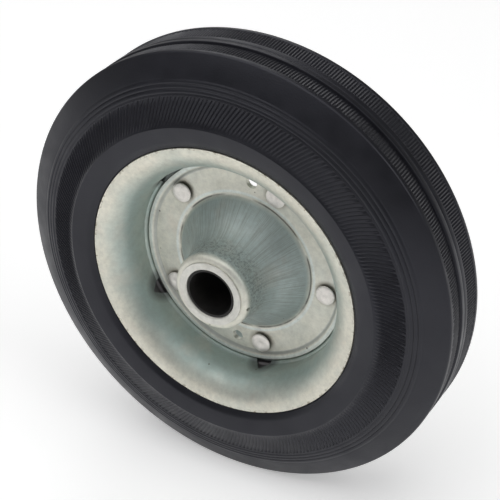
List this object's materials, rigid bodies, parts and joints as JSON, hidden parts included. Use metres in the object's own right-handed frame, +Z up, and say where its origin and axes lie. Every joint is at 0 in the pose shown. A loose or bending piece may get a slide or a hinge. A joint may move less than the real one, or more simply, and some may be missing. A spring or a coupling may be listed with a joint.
{
  "type": "gate wheel",
  "caption": "Solid rubber gate wheel on a riveted pressed-steel rim, with a plain hub tube and a thin sleeve that runs on the axle.",
  "frame": {"origin": "centre of the wheel: on the spin axis, half-way between the two rim lips", "axes": "+Y along the spin axis towards the rear face, so the front face looks towards -Y; +Z up, +X to the right seen from the front"},
  "size_m": [0.2, 0.06, 0.2],
  "materials": {
    "tyre": "moulded charcoal rubber with fine ribs, satin, a little dusty",
    "rim_zinc": "zinc-plated pressed steel with a faint yellow-green tint, satin",
    "disc_zinc": "zinc-plated pressed steel with radial drawing marks, satin",
    "hub_zinc": "zinc-plated turned steel, satin",
    "liner": "black moulded nylon, matt",
    "rivet_steel": "closed steel rivet heads, warm grey, matt"
  },
  "bodies": {
    "sleeve": {"sleeve": "liner"},
    "wheel": {"tyre": "tyre", "front_rim": "rim_zinc", "rear_rim": "rim_zinc", "front_disc": "disc_zinc", "rear_disc": "disc_zinc", "hub_tube": "hub_zinc", "rivet_1": "rivet_steel", "rivet_2": "rivet_steel", "rivet_3": "rivet_steel", "rivet_4": "rivet_steel", "rivet_5": "rivet_steel"}
  },
  "joints": [
    {"name": "wheel_spin", "type": "hinge", "parent": "sleeve", "child": "wheel", "pos_m": [0, 0, 0], "axis": [0, 1, 0], "continuous": true}
  ]
}
